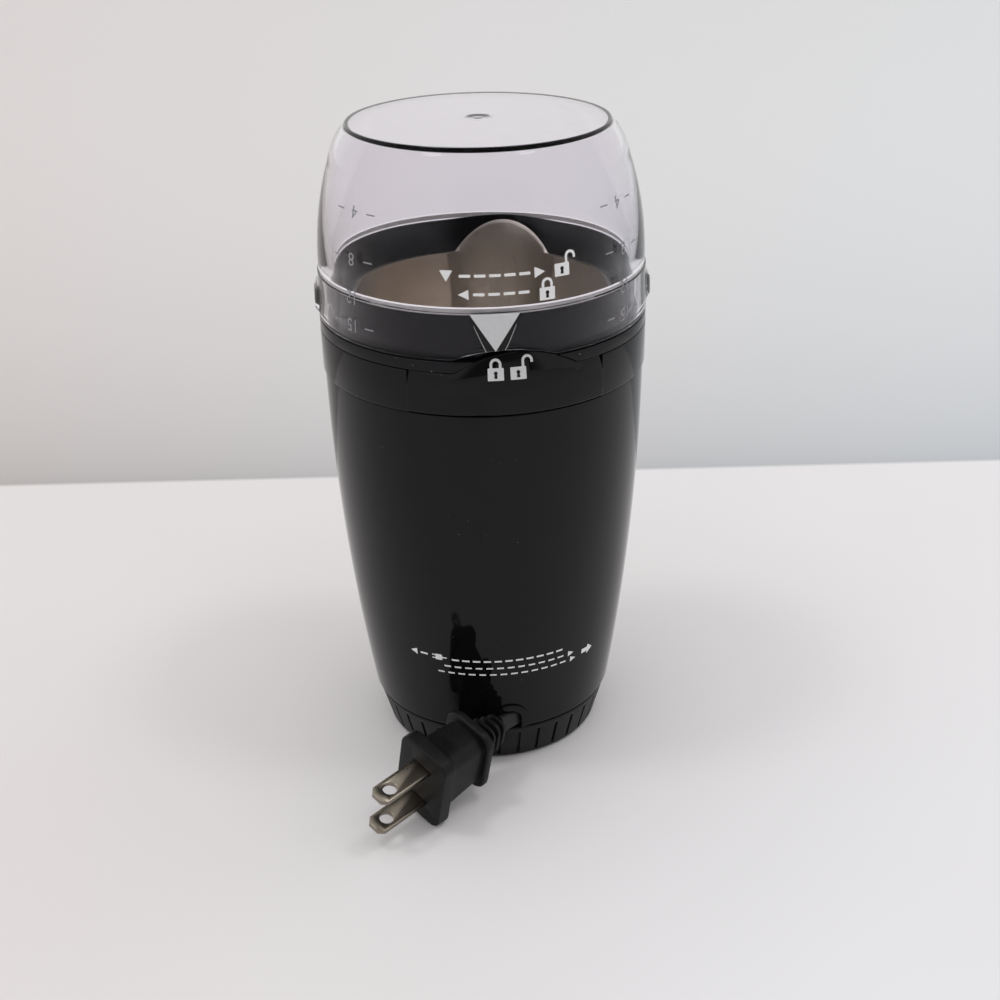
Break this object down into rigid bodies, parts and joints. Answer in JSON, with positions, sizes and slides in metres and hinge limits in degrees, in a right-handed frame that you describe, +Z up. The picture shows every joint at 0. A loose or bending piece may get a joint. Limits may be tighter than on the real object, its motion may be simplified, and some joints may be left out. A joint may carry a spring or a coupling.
{
  "type": "electric spice grinder",
  "caption": "Electric spice grinder with a clear twist-lock lid, a steel bowl with a pouring chute, a spinning blade and a twist base that winds its cord.",
  "frame": {"origin": "centre of the foot pad's underside, on the table", "axes": "+Z up along the body; -Y towards the side with the padlock signs and the cord outlet; +X to the right of that side"},
  "size_m": [0.0928, 0.1166, 0.1824],
  "materials": {
    "bearing_steel": "ground",
    "blade_steel": "ground stainless steel",
    "body_black": "glossy black",
    "bracket_metal": "die-cast",
    "button_grey": "satin grey",
    "carbon": "graphite",
    "clear_plastic": "clear polycarbonate, polished",
    "contact_brass": "bright",
    "copper_bars": "turned copper",
    "copper_wire": "enamelled copper",
    "cord_black": "flexible vinyl, satin",
    "grip_black": "satin black",
    "inner_plastic": "plain moulded",
    "lamination": "stacked electrical steel",
    "nickel_brass": "nickel plated",
    "plug_black": "moulded vinyl, satin",
    "print_grey": "light grey print",
    "satin_steel": "satin stainless steel",
    "screw_steel": "zinc plated",
    "seal_silicone": "milky silicone",
    "shaft_steel": "turned",
    "soft_rubber": "matte",
    "spring_steel": "bright spring wire",
    "wire_sleeve": "insulated wire"
  },
  "bodies": {
    "housing": {"brush_holders": "inner_plastic", "brush_springs": "spring_steel", "button_bezel": "body_black", "button_spring": "spring_steel", "carbon_brushes": "carbon", "chassis_plate": "inner_plastic", "chassis_screws": "screw_steel", "collar_band": "body_black", "deck_screws": "screw_steel", "field_coils": "copper_wire", "grinding_bowl": "satin_steel", "housing": "body_black", "inner_wires": "wire_sleeve", "lock_panel": "body_black", "lower_bearing": "bearing_steel", "lower_bracket": "bracket_metal", "motor_bolts": "screw_steel", "motor_deck": "inner_plastic", "neck_ring": "body_black", "outlet_bezel": "body_black", "reel_screw": "screw_steel", "reel_washer": "screw_steel", "rubber_mounts": "soft_rubber", "shaft_seal": "soft_rubber", "slip_contacts": "contact_brass", "stator_core": "lamination", "switch_body": "inner_plastic", "upper_bearing": "bearing_steel", "upper_bracket": "bracket_metal"},
    "lid_lift_ring": {"lid_seal": "seal_silicone"},
    "lid": {"lid": "clear_plastic", "lid_pointer": "print_grey"},
    "button": {"power_button": "button_grey", "switch_plunger": "inner_plastic"},
    "rotor": {"motor_shaft": "shaft_steel", "armature_core": "lamination", "armature_windings": "copper_wire", "commutator": "copper_bars", "cooling_fan": "inner_plastic", "blade_collar": "shaft_steel", "chopping_blade": "blade_steel", "blade_nut": "shaft_steel"},
    "twist_base": {"slip_rings": "contact_brass", "cord_reel": "inner_plastic", "cord_winding": "cord_black", "grip_ring": "grip_black", "base_cover": "grip_black", "foot_pad": "soft_rubber"},
    "plug": {"cord_lead": "cord_black", "cord_boot": "cord_black", "plug_body": "plug_black", "plug_blades": "nickel_brass"}
  },
  "joints": [
    {"name": "lid_lift", "type": "slide", "parent": "housing", "child": "lid_lift_ring", "axis": [0, 0, 1], "range_m": [0, 0.06]},
    {"name": "lid_twist", "type": "hinge", "parent": "lid_lift_ring", "child": "lid", "pos_m": [0, 0, 0.138], "axis": [0, 0, 1], "range_deg": [0, 7.5]},
    {"name": "button_press", "type": "slide", "parent": "housing", "child": "button", "axis": [0, -1, 0], "range_m": [0, 0.0025], "stiffness_N_per_m": 400, "springref_m": -0.0005},
    {"name": "blade_spin", "type": "hinge", "parent": "housing", "child": "rotor", "pos_m": [0, 0, 0.1], "axis": [0, 0, 1], "continuous": true},
    {"name": "base_twist", "type": "hinge", "parent": "housing", "child": "twist_base", "pos_m": [0, 0, 0.006], "axis": [0, 0, -1], "range_deg": [0, 40]},
    {"name": "cord_pull", "type": "slide", "parent": "housing", "child": "plug", "axis": [-0.7986, -0.6018, 0], "range_m": [0, 0.02061]}
  ],
  "couplings": [
    {"joint": "cord_pull", "follows": "base_twist", "m_per_rad": 0.02923}
  ]
}
